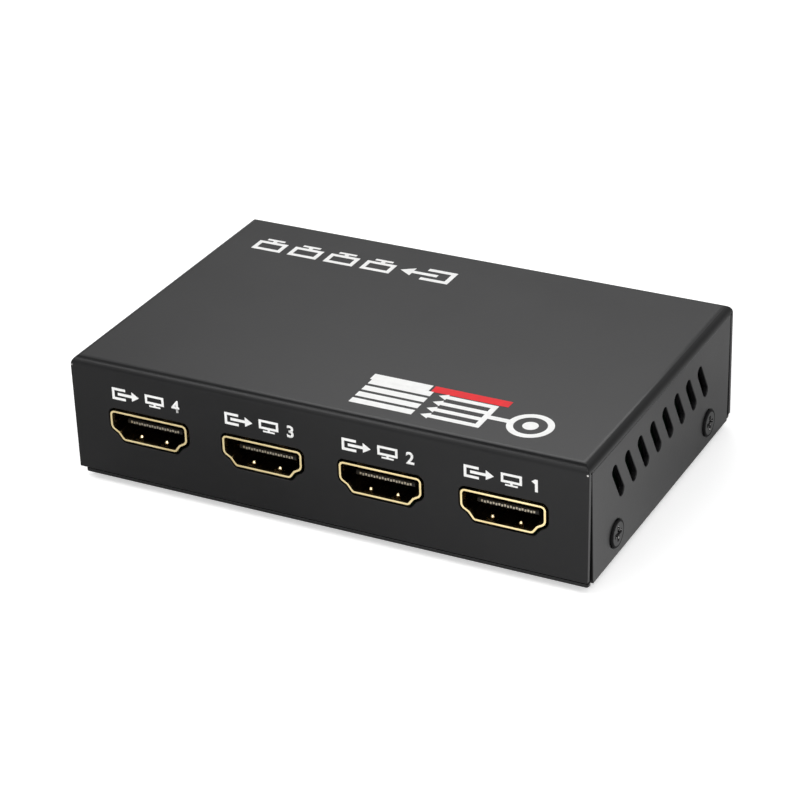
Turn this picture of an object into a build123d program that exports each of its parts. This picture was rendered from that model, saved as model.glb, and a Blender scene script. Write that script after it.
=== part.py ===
from build123d import *
import os
from math import atan, degrees

# A video splitter with one input and four outputs: five sockets on one circuit board in a folded steel
# case. Lengths are in millimetres. The outputs face -Y with +X to their right, the input, the power
# socket and the status lights face +Y, and the origin is on the standing surface below the case's middle.

os.makedirs("parts", exist_ok=True)

# Shared by all cuts
overrun = 1.0

# Stick-on rubber feet
foot_diameter = 8.0
foot_height = 1.6
foot_edge_radius = 0.6
foot_inset = 9.0

# Steel tray: a floor with two folded walls
tray_sheet = 0.6
tray_bend_radius = 1.0
tray_wall_height = 8.2
tray_cover_gap = 0.2
tray_lip_radius = 0.4
tray_lip_inset = 0.7
tray_lip_shift = 0.5
collar_wall = 0.7
collar_reach = 0.9

# Steel cover: a folded pan, open below, whose side walls butt behind the front and back walls
cover_sheet = 1.0
cover_bend_radius = 1.6
cover_seam = 0.15
cover_seam_foot = 0.6
cover_end_lean = 0.3
cover_relief_diameter = 0.4
cover_end_gap = 0.1

# Slanted cooling slots in the cover's two side walls
vent_count = 8
vent_pitch = 5.2
vent_length = 7.7
vent_width = 2.0
vent_slant = 30.5
vent_rise = 13.4
vent_shift = -1.2

# Raised countersunk screws that hold the cover to the tray, two in each side wall
case_screw_rise = 4.1
case_screw_spacing = 40.0
case_screw_thread = 3.0
case_screw_head = 4.7
case_screw_crown = 0.35
case_screw_edge_radius = 0.1
case_screw_length = 4.0
case_screw_sink_gap = 0.22
thread_gap = 0.05

# Cross recesses in all screw heads
recess_span = 2.7
recess_slot = 0.7
recess_depth = 0.9
recess_taper = 12

# Hexagonal standoffs, riveted into the tray, and the pan-head screws that hold the board on them
standoff_height = 5.0
standoff_flats = 5.5
standoff_shank = 4.2
standoff_shank_gap = 0.05
standoff_side_inset = 4.0
standoff_front_gap = 6.6
standoff_back_inset = 7.4
board_screw_thread = 3.0
board_screw_head = 5.6
board_screw_head_height = 1.9
board_screw_edge_radius = 0.7
board_screw_length = 5.0
board_hole = 3.3

# Circuit board
board_thickness = 1.6
board_end_margin = 2.7
board_side_gap = 2.7
board_edge_gap = 0.4
board_middle_depth = 37.0
board_headroom = 13.5
board_corner_radius = 1.0
board_slot_gap = 0.2

# Sockets: the mouth is 14 by 4.6 with its lower corners drawn in
port_count = 4
port_pitch = 21.6
input_inset = 18.5
mouth_width = 14.0
mouth_height = 4.6
mouth_proud = 0.2
mouth_shoulder_height_share = 0.587
mouth_waist_height_share = 0.748
mouth_waist_width_share = 0.823
mouth_base_width_share = 0.70
mouth_top_radius = 0.5
mouth_shoulder_radius = 0.8
mouth_waist_radius = 0.5
mouth_base_radius = 0.5
cutout_gap = 0.35
cutout_drop = 0.2

# Socket shells: folded sheet with sprung fingers and four legs through the board
shell_wall = 0.4
shell_length = 10.6
shell_stand = 0.55
finger_width = 1.6
finger_slot = 0.3
finger_tip = 0.8
finger_root = 6.2
finger_lift = 0.15
dimple_depth = 1.6
dimple_radius = 0.5
dimple_crown_radius = 0.2
dimple_height = 0.35
top_finger_spread = 7.2
bottom_finger_spread = 4.9
side_finger_width = 1.2
side_finger_rise = 0.9
leg_width = 1.2
leg_front_depth = 3.6
leg_back_inset = 1.2
leg_lap = 0.5
leg_overhang = 0.8

# Socket insulators: a block in the back of the shell with a tongue towards the mouth
socket_fit_gap = 0.05
block_front = 7.0
block_overhang = 0.2
tongue_front = 2.0
tongue_width = 10.6
tongue_thickness = 0.9
tongue_chamfer = 0.2
heel_width = 8.6
heel_inset = 0.8
heel_notch_gap = 0.15

# Socket contacts: ten on the tongue and nine under it, with tails soldered behind the block
upper_contact_count = 10
contact_pitch = 1.0
contact_width = 0.3
contact_thickness = 0.2
contact_tip_height = 0.6
contact_gap = 0.03
contact_tail_length = 1.6

# Power socket: a moulded block with a round bore, a centre pin and a leaf spring
jack_inset = 12.5
jack_width = 9.0
jack_height = 11.0
jack_length = 14.2
jack_edge_radius = 0.5
jack_panel_gap = 0.1
jack_bore = 6.3
jack_bore_rise = 6.5
jack_bore_depth = 9.5
jack_pin = 2.0
jack_pin_setback = 0.8
jack_pin_tip_radius = 0.5
jack_fit_gap = 0.05
jack_panel_hole = 8.0
jack_tag_width = 2.4
jack_tag_thickness = 0.4
jack_tag_rise = 1.4
jack_spring_width = 2.2
jack_spring_thickness = 0.3
jack_spring_lift = 0.4
jack_spring_tip_share = 0.38
jack_spring_peak_share = 0.52
jack_spring_root_share = 0.92

# Status lights with bent leads, one for power and one for each output
light_count = 5
light_pitch = 5.0
light_diameter = 3.0
light_length = 5.3
light_rim = 3.8
light_rim_thickness = 1.0
light_dome_share = 0.95
light_hole_gap = 0.15
light_lead_thickness = 0.5
light_lead_spacing = 2.54
light_lead_reach = 1.5

# Splitter chip: a flat square package with leads on its four sides, a thermal pad and a heat sink
chip_width = 14.0
chip_thickness = 1.4
chip_standoff = 0.1
chip_lead_count = 20
chip_lead_pitch = 0.65
chip_lead_width = 0.28
chip_lead_thickness = 0.15
chip_lead_reach = 1.0
chip_lead_foot = 0.5
chip_edge_chamfer = 0.3
pad_thickness = 0.5
pad_inset = 0.5
sink_width = 14.0
sink_base = 1.5
sink_height = 6.0
sink_fin_count = 7
sink_fin_thickness = 0.8

# Small parts round the splitter chip, all soldered to the board's top
ring_gap = 0.8
small_capacitor_length = 1.6
small_capacitor_width = 0.8
small_capacitor_height = 0.8
small_capacitor_pitch = 3.6
small_capacitors_per_side = 3
resistor_length = 1.0
resistor_width = 0.5
resistor_height = 0.35
resistor_pitch = 1.4
resistors_per_socket = 8
resistor_row_gap = 3.2
array_length = 2.5
array_width = 1.0
array_height = 0.55
arrays_per_socket = 2
array_spread = 4.0
array_row_gap = 1.3

# Larger parts on the board
part_gap = 2.5
crystal_length = 11.4
crystal_width = 4.7
crystal_height = 3.5
crystal_rim = 0.4
memory_width = 3.9
memory_length = 4.9
memory_thickness = 1.45
memory_lead_count = 4
memory_lead_pitch = 1.27
memory_lead_width = 0.42
memory_lead_thickness = 0.2
memory_lead_reach = 1.0
memory_lead_foot = 0.5
memory_standoff = 0.15
regulator_width = 3.5
regulator_length = 6.5
regulator_thickness = 1.6
regulator_standoff = 0.05
regulator_lead_count = 3
regulator_lead_pitch = 2.3
regulator_lead_width = 0.7
regulator_tab_width = 3.0
regulator_lead_thickness = 0.3
regulator_lead_reach = 1.7
regulator_lead_foot = 0.8
inductor_width = 7.0
inductor_height = 4.0
inductor_drum = 6.0
inductor_base = 0.8
can_diameter = 6.3
can_height = 5.8
can_base_width = 6.6
can_base_height = 1.2
can_groove_rise = 2.0
can_groove_width = 0.6
can_groove_depth = 0.3
can_edge_radius = 0.5
can_base_chamfer = 1.0
row_spread = 11.0

# Heights of the stack
tray_top = foot_height + tray_sheet
board_bottom = tray_top + standoff_height
board_top = board_bottom + board_thickness
case_top = board_top + board_headroom + cover_sheet
socket_rise = shell_stand + shell_wall + mouth_height / 2
socket_z = board_top + socket_rise

# Plan sizes of the board and the case
block_back = shell_length + block_overhang
tail_back = block_back + contact_thickness + contact_tail_length
mouth_to_board = mouth_proud + cover_sheet + board_edge_gap
socket_zone = tail_back - mouth_to_board
board_width = (port_count - 1) * port_pitch + mouth_width + 2 * shell_wall + 2 * board_end_margin
board_depth = 2 * socket_zone + board_middle_depth
tray_width = board_width + 2 * (board_side_gap + tray_sheet)
case_width = tray_width + 2 * (tray_cover_gap + cover_sheet)
case_depth = board_depth + 2 * (board_edge_gap + cover_sheet)
tray_wall_length = case_depth - 2 * (cover_sheet + tray_cover_gap)
wall_inside_y = case_depth / 2 - cover_sheet

# Places along the back of the board
input_x = -board_width / 2 + input_inset
jack_x = board_width / 2 - jack_inset
light_x = (input_x + mouth_width / 2 + jack_x - jack_width / 2) / 2
light_places = [light_x + (index - (light_count - 1) / 2) * light_pitch for index in range(light_count)]

# Places of the standoffs, the feet and the case screws
standoff_x = board_width / 2 - standoff_side_inset
standoff_front_y = -board_depth / 2 + socket_zone + standoff_front_gap
standoff_back_y = board_depth / 2 - standoff_back_inset
standoff_places = [(x, y) for x in (-standoff_x, standoff_x) for y in (standoff_front_y, standoff_back_y)]
foot_spacing_x = case_width - 2 * foot_inset
foot_spacing_y = case_depth - 2 * foot_inset
case_screw_z = foot_height + case_screw_rise


def screw_planes(x):
    """Planes square to the case screws, facing outwards at the distance x from the middle."""
    return [
        Plane(origin=(side * x, y, case_screw_z), x_dir=(0, 1, 0), z_dir=(side, 0, 0))
        for side in (-1, 1)
        for y in (-case_screw_spacing / 2, case_screw_spacing / 2)
    ]


# Each socket is drawn once, with its mouth's middle at the origin and facing -Y, and copied to its places.
# The outputs are numbered from the right, as they are read from the front.
socket_y = case_depth / 2 + mouth_proud
socket_places = {
    f"output_{index + 1}": Location((((port_count - 1) / 2 - index) * port_pitch, -socket_y, socket_z))
    for index in range(port_count)
}
socket_places["input"] = Location((input_x, socket_y, socket_z), (0, 0, 180))
mouth_plane = Plane.XZ
across = Plane.YZ
flat = Plane.XY


def at_sockets(depth, offsets):
    """Places on the board, at a depth behind each socket's mouth and at the given offsets across it."""
    spots = [place * Location((offset, depth, 0)) for place in socket_places.values() for offset in offsets]
    return [(spot.position.X, spot.position.Y) for spot in spots]


# Planes of the power socket's front and of the status lights' tips, both facing out of the back
jack_front = case_depth / 2 - cover_sheet - jack_panel_gap
jack_face = Plane(origin=(jack_x, jack_front, board_top), x_dir=(-1, 0, 0), z_dir=(0, 1, 0))
light_face = Plane(origin=(0, socket_y, socket_z), x_dir=(-1, 0, 0), z_dir=(0, 1, 0))

# The mouth's outline, with its rounded corners
with BuildSketch() as mouth:
    with BuildLine():
        Polyline(
            (0, mouth_height / 2),
            (mouth_width / 2, mouth_height / 2),
            (mouth_width / 2, mouth_height * (1 / 2 - mouth_shoulder_height_share)),
            (mouth_width / 2 * mouth_waist_width_share, mouth_height * (1 / 2 - mouth_waist_height_share)),
            (mouth_width / 2 * mouth_base_width_share, -mouth_height / 2),
            (0, -mouth_height / 2),
        )
        mirror(about=Plane.YZ)
    make_face()
    base_corners, waist_corners, shoulder_corners, top_corners = mouth.vertices().group_by(Axis.Y)
    fillet(top_corners, mouth_top_radius)
    fillet(mouth.vertices().group_by(Axis.Y)[0], mouth_base_radius)
    for corners, radius in ((waist_corners, mouth_waist_radius), (shoulder_corners, mouth_shoulder_radius)):
        level = corners[0].Y
        fillet(mouth.vertices().sort_by(lambda corner: abs(corner.Y - level))[:2], radius)

# The outside of the shell, the inside of the insulator and the opening in the case wall follow it.
with BuildSketch() as shell_section:
    add(mouth.sketch)
    offset(amount=shell_wall)
with BuildSketch() as block_section:
    add(mouth.sketch)
    offset(amount=-socket_fit_gap)
with BuildSketch() as cutout:
    add(mouth.sketch)
    offset(amount=shell_wall + cutout_gap)
    with Locations((0, -cutout_drop)):
        add(cutout.sketch)


def finish(sub_part, name):
    """Labels a sub-part and writes it to its file."""
    sub_part.part.label = name
    export_step(sub_part.part, f"parts/{name}.step")


def cut_recess(planes):
    """Cuts a tapered cross into the screw heads whose tops lie on the planes."""
    with BuildSketch(*planes) as cross:
        Rectangle(recess_span, recess_slot)
        Rectangle(recess_slot, recess_span)
    extrude(cross.sketch, amount=-recess_depth, taper=recess_taper, mode=Mode.SUBTRACT)


def gull_points(reach, foot, rise, thickness):
    """The side of a bent lead: from the package's side at the given rise, down to a foot on the board."""
    bend = (reach - foot) / 2
    return [
        (0, rise + thickness / 2),
        (bend + thickness / 2, rise + thickness / 2),
        (reach - foot + thickness / 2, thickness),
        (reach, thickness),
        (reach, 0),
        (reach - foot - thickness / 2, 0),
        (bend - thickness / 2, rise - thickness / 2),
        (0, rise - thickness / 2),
    ]


def row_places(count, pitch):
    """Places along a line, evenly spaced about its middle."""
    return [(index - (count - 1) / 2) * pitch for index in range(count)]


# Rubber feet
with BuildPart() as rubber_feet:
    with BuildSketch():
        with GridLocations(foot_spacing_x, foot_spacing_y, 2, 2):
            Circle(foot_diameter / 2)
    extrude(amount=foot_height)
    fillet(rubber_feet.edges().group_by(Axis.Z)[0], foot_edge_radius)
finish(rubber_feet, "rubber_feet")

# Tray: the folded channel, its lips under the cover's front and back walls, and its screw collars
with BuildPart() as base_tray:
    with BuildSketch(Plane.XZ.offset(-tray_wall_length / 2)) as channel:
        with Locations((0, foot_height + tray_wall_height / 2)):
            Rectangle(tray_width, tray_wall_height)
        fillet(channel.vertices().group_by(Axis.Y)[0], tray_bend_radius)
        with Locations((0, tray_top + tray_wall_height / 2)):
            Rectangle(tray_width - 2 * tray_sheet, tray_wall_height, mode=Mode.SUBTRACT)
        fillet(channel.vertices().group_by(Axis.Y)[1], tray_bend_radius - tray_sheet)
    extrude(amount=tray_wall_length)
    with BuildSketch(Plane.XY.offset(foot_height)):
        with Locations((tray_lip_shift, 0)):
            RectangleRounded(case_width - 2 * tray_lip_inset, case_depth, tray_lip_radius)
        Rectangle(case_width, 2 * wall_inside_y, mode=Mode.SUBTRACT)
        Rectangle(tray_width, 2 * wall_inside_y)
        Rectangle(tray_width, tray_wall_length, mode=Mode.SUBTRACT)
    extrude(amount=tray_sheet)
    with BuildSketch(*screw_planes(tray_width / 2 - tray_sheet)):
        Circle(case_screw_thread / 2 + thread_gap + collar_wall)
    extrude(amount=-collar_reach)
    with BuildSketch(*screw_planes(tray_width / 2 + overrun)):
        Circle(case_screw_thread / 2 + thread_gap)
    extrude(amount=-(tray_sheet + collar_reach + 2 * overrun), mode=Mode.SUBTRACT)
    with BuildSketch(Plane.XY.offset(foot_height - overrun)):
        with Locations(*standoff_places):
            Circle(standoff_shank / 2 + standoff_shank_gap)
    extrude(amount=tray_sheet + 2 * overrun, mode=Mode.SUBTRACT)
finish(base_tray, "base_tray")

# Cover: the folded pan, the seams at its four corners, and all its openings
cover_low = foot_height
wall_low = tray_top + cover_end_gap
relief_z = case_top - cover_bend_radius
seam_y = wall_inside_y - cover_seam
case_screw_head_height = cover_sheet + tray_cover_gap
sink_angle = 2 * degrees(atan((case_screw_head - case_screw_thread) / 2 / case_screw_head_height))
with BuildPart() as cover:
    with BuildSketch(Plane.XY.offset(cover_low)):
        Rectangle(case_width, case_depth)
    extrude(amount=case_top - cover_low)
    fillet(cover.edges().group_by(Axis.Z)[-1], cover_bend_radius)
    offset(amount=-cover_sheet, openings=cover.faces().sort_by(Axis.Z)[0])
    with BuildSketch(Plane.XY.offset(cover_low - overrun)):
        Rectangle(case_width + 2 * overrun, case_depth + 2 * overrun)
        Rectangle(case_width + 2 * overrun, 2 * seam_y, mode=Mode.SUBTRACT)
    extrude(amount=wall_low - cover_low + overrun, mode=Mode.SUBTRACT)
    for side in (-1, 1):
        with BuildSketch(Plane.YZ.offset(side * (case_width - cover_sheet) / 2)):
            for end in (-1, 1):
                with BuildLine():
                    Polyline(
                        (end * wall_inside_y, relief_z),
                        (end * seam_y, relief_z),
                        (end * (wall_inside_y - cover_seam_foot), cover_low),
                        (end * wall_inside_y, cover_low),
                        close=True,
                    )
                make_face()
    extrude(amount=cover_sheet / 2 + overrun, both=True, mode=Mode.SUBTRACT)
    with BuildSketch(Plane.XZ.offset(case_depth / 2)):
        with BuildLine():
            Polyline(
                (case_width / 2, relief_z),
                (case_width / 2, cover_low),
                (case_width / 2 - cover_end_lean, cover_low),
                close=True,
            )
        make_face()
    extrude(amount=-cover_sheet, mode=Mode.SUBTRACT)
    for side in (-1, 1):
        with BuildSketch(Plane.YZ.offset(side * (case_width - cover_sheet) / 2)):
            with Locations((-wall_inside_y, relief_z), (wall_inside_y, relief_z)):
                Circle(cover_relief_diameter / 2)
    extrude(amount=(cover_sheet + tray_cover_gap) / 2, both=True, mode=Mode.SUBTRACT)
    with BuildSketch(Plane.YZ.offset(-case_width / 2 - overrun)):
        with Locations((vent_shift, foot_height + vent_rise)):
            with GridLocations(vent_pitch, 0, vent_count, 1):
                SlotOverall(vent_length, vent_width, rotation=90 + vent_slant)
    extrude(amount=case_width + 2 * overrun, mode=Mode.SUBTRACT)
    with Locations(*screw_planes(case_width / 2)):
        CounterSinkHole(
            case_screw_thread / 2 + case_screw_sink_gap,
            case_screw_head / 2 + case_screw_sink_gap,
            depth=cover_sheet + overrun,
            counter_sink_angle=sink_angle,
        )
    with BuildSketch(*[Plane(place * mouth_plane.location) for place in socket_places.values()]):
        add(cutout.sketch)
    extrude(amount=mouth_to_board, both=True, mode=Mode.SUBTRACT)
    with BuildSketch(jack_face.offset(jack_panel_gap + cover_sheet + overrun)):
        with Locations((0, jack_bore_rise)):
            Circle(jack_panel_hole / 2)
    extrude(amount=-(jack_panel_gap + cover_sheet + overrun), mode=Mode.SUBTRACT)
    with BuildSketch(light_face.offset(overrun)):
        with Locations(*[(-x, 0) for x in light_places]):
            Circle(light_diameter / 2 + light_hole_gap)
    extrude(amount=-(overrun + mouth_to_board), mode=Mode.SUBTRACT)
finish(cover, "cover")

# Case screws, with a raised head that is rounded at its edge
with BuildPart() as cover_screws:
    with BuildSketch(*screw_planes(case_width / 2)):
        Circle(case_screw_head / 2)
    extrude(amount=case_screw_crown)
    crown_middle = (case_width + case_screw_crown) / 2
    crown_rims = cover_screws.edges().filter_by(lambda edge: abs(edge.center().X) > crown_middle)
    fillet(crown_rims, case_screw_edge_radius)
    with Locations(*screw_planes(case_width / 2)):
        Cone(
            case_screw_thread / 2,
            case_screw_head / 2,
            case_screw_head_height,
            align=(Align.CENTER, Align.CENTER, Align.MAX),
        )
        Cylinder(case_screw_thread / 2, case_screw_length, align=(Align.CENTER, Align.CENTER, Align.MAX))
    cut_recess(screw_planes(case_width / 2 + case_screw_crown))
finish(cover_screws, "cover_screws")

# Standoffs: a hexagon on the tray's floor with a shank through it, tapped from end to end
with BuildPart() as board_standoffs:
    with BuildSketch(Plane.XY.offset(tray_top)):
        with Locations(*standoff_places):
            RegularPolygon(standoff_flats / 2, 6, major_radius=False)
    extrude(amount=standoff_height)
    with BuildSketch(Plane.XY.offset(foot_height)):
        with Locations(*standoff_places):
            Circle(standoff_shank / 2)
    extrude(amount=tray_sheet)
    with BuildSketch(Plane.XY.offset(foot_height)):
        with Locations(*standoff_places):
            Circle(board_screw_thread / 2 + thread_gap)
    extrude(amount=tray_sheet + standoff_height, mode=Mode.SUBTRACT)
finish(board_standoffs, "board_standoffs")

# Pan-head screws through the board into the standoffs
with BuildPart() as board_screws:
    with BuildSketch(Plane.XY.offset(board_top)):
        with Locations(*standoff_places):
            Circle(board_screw_head / 2)
    extrude(amount=board_screw_head_height)
    fillet(board_screws.edges().group_by(Axis.Z)[-1], board_screw_edge_radius)
    with BuildSketch(Plane.XY.offset(board_top)):
        with Locations(*standoff_places):
            Circle(board_screw_thread / 2)
    extrude(amount=-board_screw_length)
    head_top = board_top + board_screw_head_height
    cut_recess([Plane(origin=(x, y, head_top)) for x, y in standoff_places])
finish(board_screws, "board_screws")

# Circuit board, with holes for the screws, the sockets' legs, the power socket's tags and the lights
leg_x = (mouth_width + shell_wall) / 2
leg_depths = (leg_front_depth, shell_length - leg_back_inset)
leg_places = [spot for depth in leg_depths for spot in at_sockets(depth, (-leg_x, leg_x))]
jack_tag_y = jack_front - jack_length + jack_tag_thickness / 2
jack_leg_depth = jack_bore_depth * jack_spring_root_share
light_back = light_length + light_lead_reach
lead_places = [
    (x + side * light_lead_spacing / 2, socket_y - light_back)
    for x in light_places
    for side in (-1, 1)
]
with BuildPart() as circuit_board:
    with BuildSketch(Plane.XY.offset(board_bottom)):
        RectangleRounded(board_width, board_depth, board_corner_radius)
        with Locations(*standoff_places):
            Circle(board_hole / 2, mode=Mode.SUBTRACT)
        with Locations(*leg_places):
            Rectangle(shell_wall + 2 * board_slot_gap, leg_width + 2 * board_slot_gap, mode=Mode.SUBTRACT)
        with Locations((jack_x, jack_tag_y)):
            Rectangle(
                jack_tag_width + 2 * board_slot_gap,
                jack_tag_thickness + 2 * board_slot_gap,
                mode=Mode.SUBTRACT,
            )
        with Locations((jack_x, jack_front - jack_leg_depth)):
            Rectangle(
                jack_spring_width + 2 * board_slot_gap,
                jack_spring_thickness + 2 * board_slot_gap,
                mode=Mode.SUBTRACT,
            )
        with Locations(*lead_places):
            Circle(light_lead_thickness / 2 + board_slot_gap, mode=Mode.SUBTRACT)
    extrude(amount=board_thickness)
finish(circuit_board, "circuit_board")

# Places of a socket's contacts across it
upper_places = row_places(upper_contact_count, contact_pitch)
lower_places = row_places(upper_contact_count - 1, contact_pitch)


def contact_points(side):
    """The side of a contact: a tip folded over the tongue's nose, a run along it and a tail on the board."""
    outer = side * tongue_thickness / 2
    inner = outer - side * contact_thickness
    tip = outer - side * contact_tip_height
    floor = -socket_rise
    tail_front = block_back + contact_gap
    tail_rear = tail_front + contact_thickness
    upper_line = [(tail_rear, max(outer, inner)), (tail_rear, floor + contact_thickness)]
    lower_line = [(tail_back, floor), (tail_front, floor), (tail_front, min(outer, inner))]
    tail = [*upper_line, (tail_back, floor + contact_thickness), *lower_line]
    return [
        (tongue_front, tip),
        (tongue_front, outer - side * tongue_chamfer),
        (tongue_front + tongue_chamfer, outer),
        *(tail if side > 0 else tail[::-1]),
        (tongue_front + contact_thickness, inner),
        (tongue_front + contact_thickness, tip),
    ]


def finger_points(side, wall):
    """A sprung finger's bent strip, rooted in the wall at the given distance from the socket's middle."""
    outside = wall + shell_wall
    return [
        (finger_root, side * outside),
        (finger_root, side * wall),
        (finger_tip, side * (wall - finger_lift)),
        (finger_tip, side * (outside - finger_lift)),
    ]


# Socket shell: the folded tube, its six sprung fingers, its legs and the notch for the insulator's heel
wall_z = mouth_height / 2
wall_x = mouth_width / 2
window_length = finger_root - finger_tip + finger_slot
window_middle = finger_root - window_length / 2
leg_length = leg_lap + socket_rise + board_thickness + leg_overhang
heel_front = block_front + heel_inset
notch_length = shell_length + overrun - heel_front + heel_notch_gap
with BuildPart() as shell:
    with BuildSketch(mouth_plane):
        add(shell_section.sketch)
        add(mouth.sketch, mode=Mode.SUBTRACT)
    extrude(amount=-shell_length)
    for side, spread in ((-1, bottom_finger_spread), (1, top_finger_spread)):
        with BuildSketch(flat.offset(side * (wall_z + shell_wall / 2))):
            with Locations((-spread / 2, window_middle), (spread / 2, window_middle)):
                Rectangle(finger_width + 2 * finger_slot, window_length)
        extrude(amount=shell_wall, both=True, mode=Mode.SUBTRACT)
        with BuildSketch(across.offset(-spread / 2), across.offset(spread / 2)):
            with BuildLine():
                Polyline(*finger_points(side, wall_z), close=True)
            make_face()
        extrude(amount=finger_width / 2, both=True)
    with Locations(*[(side * bottom_finger_spread / 2, dimple_depth, -wall_z) for side in (-1, 1)]):
        Cone(
            dimple_radius,
            dimple_crown_radius,
            finger_lift + dimple_height,
            align=(Align.CENTER, Align.CENTER, Align.MIN),
        )
    for side in (-1, 1):
        with BuildSketch(across.offset(side * (wall_x + shell_wall / 2))):
            with Locations((window_middle, side_finger_rise)):
                Rectangle(window_length, side_finger_width + 2 * finger_slot)
        extrude(amount=shell_wall, both=True, mode=Mode.SUBTRACT)
        with BuildSketch(flat.offset(side_finger_rise)):
            with BuildLine():
                Polyline(*[(x, depth) for depth, x in finger_points(side, wall_x)], close=True)
            make_face()
        extrude(amount=side_finger_width / 2, both=True)
    with BuildSketch(across.offset(-leg_x), across.offset(leg_x)):
        with Locations(*[(depth, leg_lap - leg_length / 2) for depth in leg_depths]):
            Rectangle(leg_width, leg_length)
    extrude(amount=shell_wall / 2, both=True)
    with BuildSketch(flat.offset(-wall_z - shell_wall / 2)):
        with Locations((0, shell_length + overrun - notch_length / 2)):
            Rectangle(heel_width + 2 * heel_notch_gap, notch_length)
    extrude(amount=shell_wall, both=True, mode=Mode.SUBTRACT)

# Socket insulator: the block, the tongue with its chamfered tip, the heel on the board and the grooves
heel_length = block_back - heel_front
groove_length = block_back - tongue_front + 2 * overrun
groove_middle = (tongue_front + block_back) / 2
contact_rows = ((upper_places, 1), (lower_places, -1))
contact_face = tongue_thickness / 2
with BuildPart() as insulator:
    with BuildSketch(mouth_plane.offset(-tongue_front)):
        Rectangle(tongue_width, tongue_thickness)
    extrude(amount=tongue_front - block_front)
    tip_edges = insulator.edges().filter_by(Axis.X).group_by(Axis.Y)[0]
    chamfer(tip_edges, tongue_chamfer)
    with BuildSketch(mouth_plane.offset(-block_front)):
        add(block_section.sketch)
    extrude(amount=block_front - block_back)
    with BuildSketch(flat.offset(-socket_rise)):
        with Locations((0, heel_front + heel_length / 2)):
            Rectangle(heel_width, heel_length)
    extrude(amount=socket_rise - wall_z + shell_wall)
    for places, side in contact_rows:
        with BuildSketch(*[across.offset(x) for x in places]):
            with Locations((groove_middle, side * contact_face)):
                Rectangle(groove_length, 2 * (contact_thickness + contact_gap))
            with Locations((tongue_front, side * contact_face)):
                Rectangle(2 * (contact_thickness + contact_gap), 2 * (contact_tip_height + contact_gap))
        extrude(amount=contact_width / 2 + contact_gap, both=True, mode=Mode.SUBTRACT)

# Socket contacts
with BuildPart() as contacts:
    for places, side in contact_rows:
        with BuildSketch(*[across.offset(x) for x in places]):
            with BuildLine():
                Polyline(*contact_points(side), close=True)
            make_face()
        extrude(amount=contact_width / 2, both=True)

for socket_name, place in socket_places.items():
    for piece_name, piece in (("shell", shell), ("insulator", insulator), ("contacts", contacts)):
        with BuildPart() as placed_piece:
            with Locations(place):
                add(piece.part)
        finish(placed_piece, f"{socket_name}_{piece_name}")

# Power socket: the moulded housing, with its bore, the pin's seat and the spring's channel
jack_across = Plane(origin=jack_face.origin, x_dir=(0, -1, 0), z_dir=(-1, 0, 0))
channel_front = jack_bore_depth * jack_spring_tip_share - jack_fit_gap
channel_length = jack_bore_depth - channel_front
tag_top = jack_bore_rise + jack_tag_rise
with BuildPart() as power_socket_housing:
    with BuildSketch(jack_face):
        with Locations((0, jack_height / 2)):
            Rectangle(jack_width, jack_height)
    extrude(amount=-jack_length)
    fillet(power_socket_housing.edges().filter_by(Axis.Y).group_by(Axis.Z)[-1], jack_edge_radius)
    with BuildSketch(jack_face):
        with Locations((0, jack_bore_rise)):
            Circle(jack_bore / 2)
    extrude(amount=-jack_bore_depth, mode=Mode.SUBTRACT)
    with BuildSketch(jack_face):
        with Locations((0, jack_bore_rise)):
            Circle(jack_pin / 2 + jack_fit_gap)
    extrude(amount=-jack_length, mode=Mode.SUBTRACT)
    with BuildSketch(jack_face.offset(-jack_length)):
        with Locations((0, tag_top / 2)):
            Rectangle(jack_tag_width + 2 * jack_fit_gap, tag_top + 2 * jack_fit_gap)
    extrude(amount=jack_tag_thickness + jack_fit_gap, mode=Mode.SUBTRACT)
    with BuildSketch(jack_across):
        with Locations((channel_front + channel_length / 2, jack_bore_rise / 2)):
            Rectangle(channel_length, jack_bore_rise)
    extrude(amount=jack_spring_width / 2 + jack_fit_gap, both=True, mode=Mode.SUBTRACT)
finish(power_socket_housing, "power_socket_housing")

# Power socket: the centre pin, riveted to its tag at the back
tag_length = tag_top + board_thickness + leg_overhang
with BuildPart() as power_socket_pin:
    with BuildSketch(jack_face.offset(-jack_pin_setback)):
        with Locations((0, jack_bore_rise)):
            Circle(jack_pin / 2)
    extrude(amount=jack_pin_setback - jack_length)
    fillet(power_socket_pin.edges().group_by(Axis.Y)[-1], jack_pin_tip_radius)
    with BuildSketch(jack_face.offset(-jack_length)):
        with Locations((0, tag_top - tag_length / 2)):
            Rectangle(jack_tag_width, tag_length)
    extrude(amount=jack_tag_thickness)
finish(power_socket_pin, "power_socket_pin")

# Power socket: the leaf spring below the bore, with its leg through the board
leaf_top = jack_bore_rise - jack_bore / 2 - jack_fit_gap
leaf_root = jack_leg_depth + jack_spring_thickness / 2
leaf_tip = jack_bore_depth * jack_spring_tip_share
leaf_peak = jack_bore_depth * jack_spring_peak_share
with BuildPart() as power_socket_spring:
    with BuildSketch(jack_across):
        with BuildLine():
            Polyline(
                (leaf_root, -board_thickness - leg_overhang),
                (leaf_root, leaf_top),
                (leaf_peak, leaf_top + jack_spring_lift),
                (leaf_tip, leaf_top),
                (leaf_tip, leaf_top - jack_spring_thickness),
                (leaf_peak, leaf_top + jack_spring_lift - jack_spring_thickness),
                (leaf_root - jack_spring_thickness, leaf_top - jack_spring_thickness),
                (leaf_root - jack_spring_thickness, -board_thickness - leg_overhang),
                close=True,
            )
        make_face()
    extrude(amount=jack_spring_width / 2, both=True)
finish(power_socket_spring, "power_socket_spring")

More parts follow.
